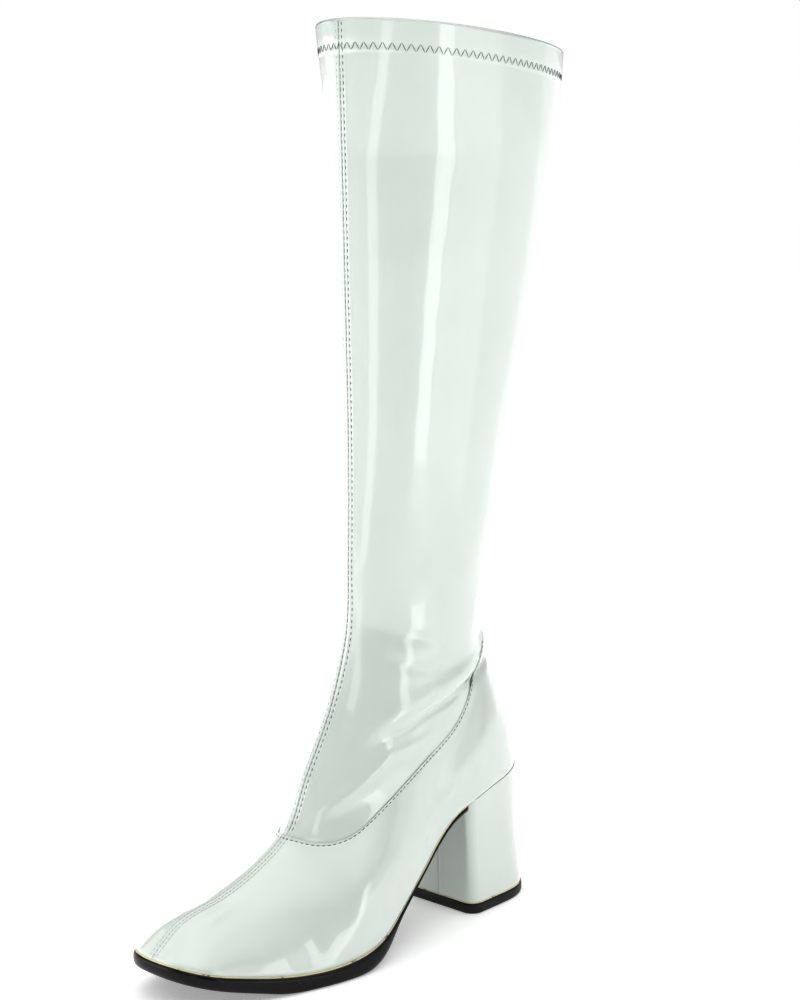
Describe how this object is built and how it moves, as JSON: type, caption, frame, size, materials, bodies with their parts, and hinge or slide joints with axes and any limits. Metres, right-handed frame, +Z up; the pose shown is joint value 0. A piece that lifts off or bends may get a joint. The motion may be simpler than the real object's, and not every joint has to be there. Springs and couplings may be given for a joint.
{
  "type": "go go boot",
  "caption": "Knee-high go go boot for the left foot, white patent upper with a centre seam, curved vamp seam, covered block heel and black sole.",
  "frame": {"origin": "On the floor under the middle of the boot's bounding box.", "axes": "+Z up along the shaft, -Y towards the toe, +X towards the outer side of the left foot."},
  "size_m": [0.1016, 0.2786, 0.465],
  "materials": {
    "white_patent": "gloss",
    "black_sole": "gloss",
    "black_rubber": "satin",
    "sock_lining": "matte"
  },
  "bodies": {
    "root": {"upper": "white_patent", "heel_block": "white_patent", "outsole": "black_sole", "heel_top_piece": "black_rubber", "insole": "sock_lining"}
  },
  "joints": []
}
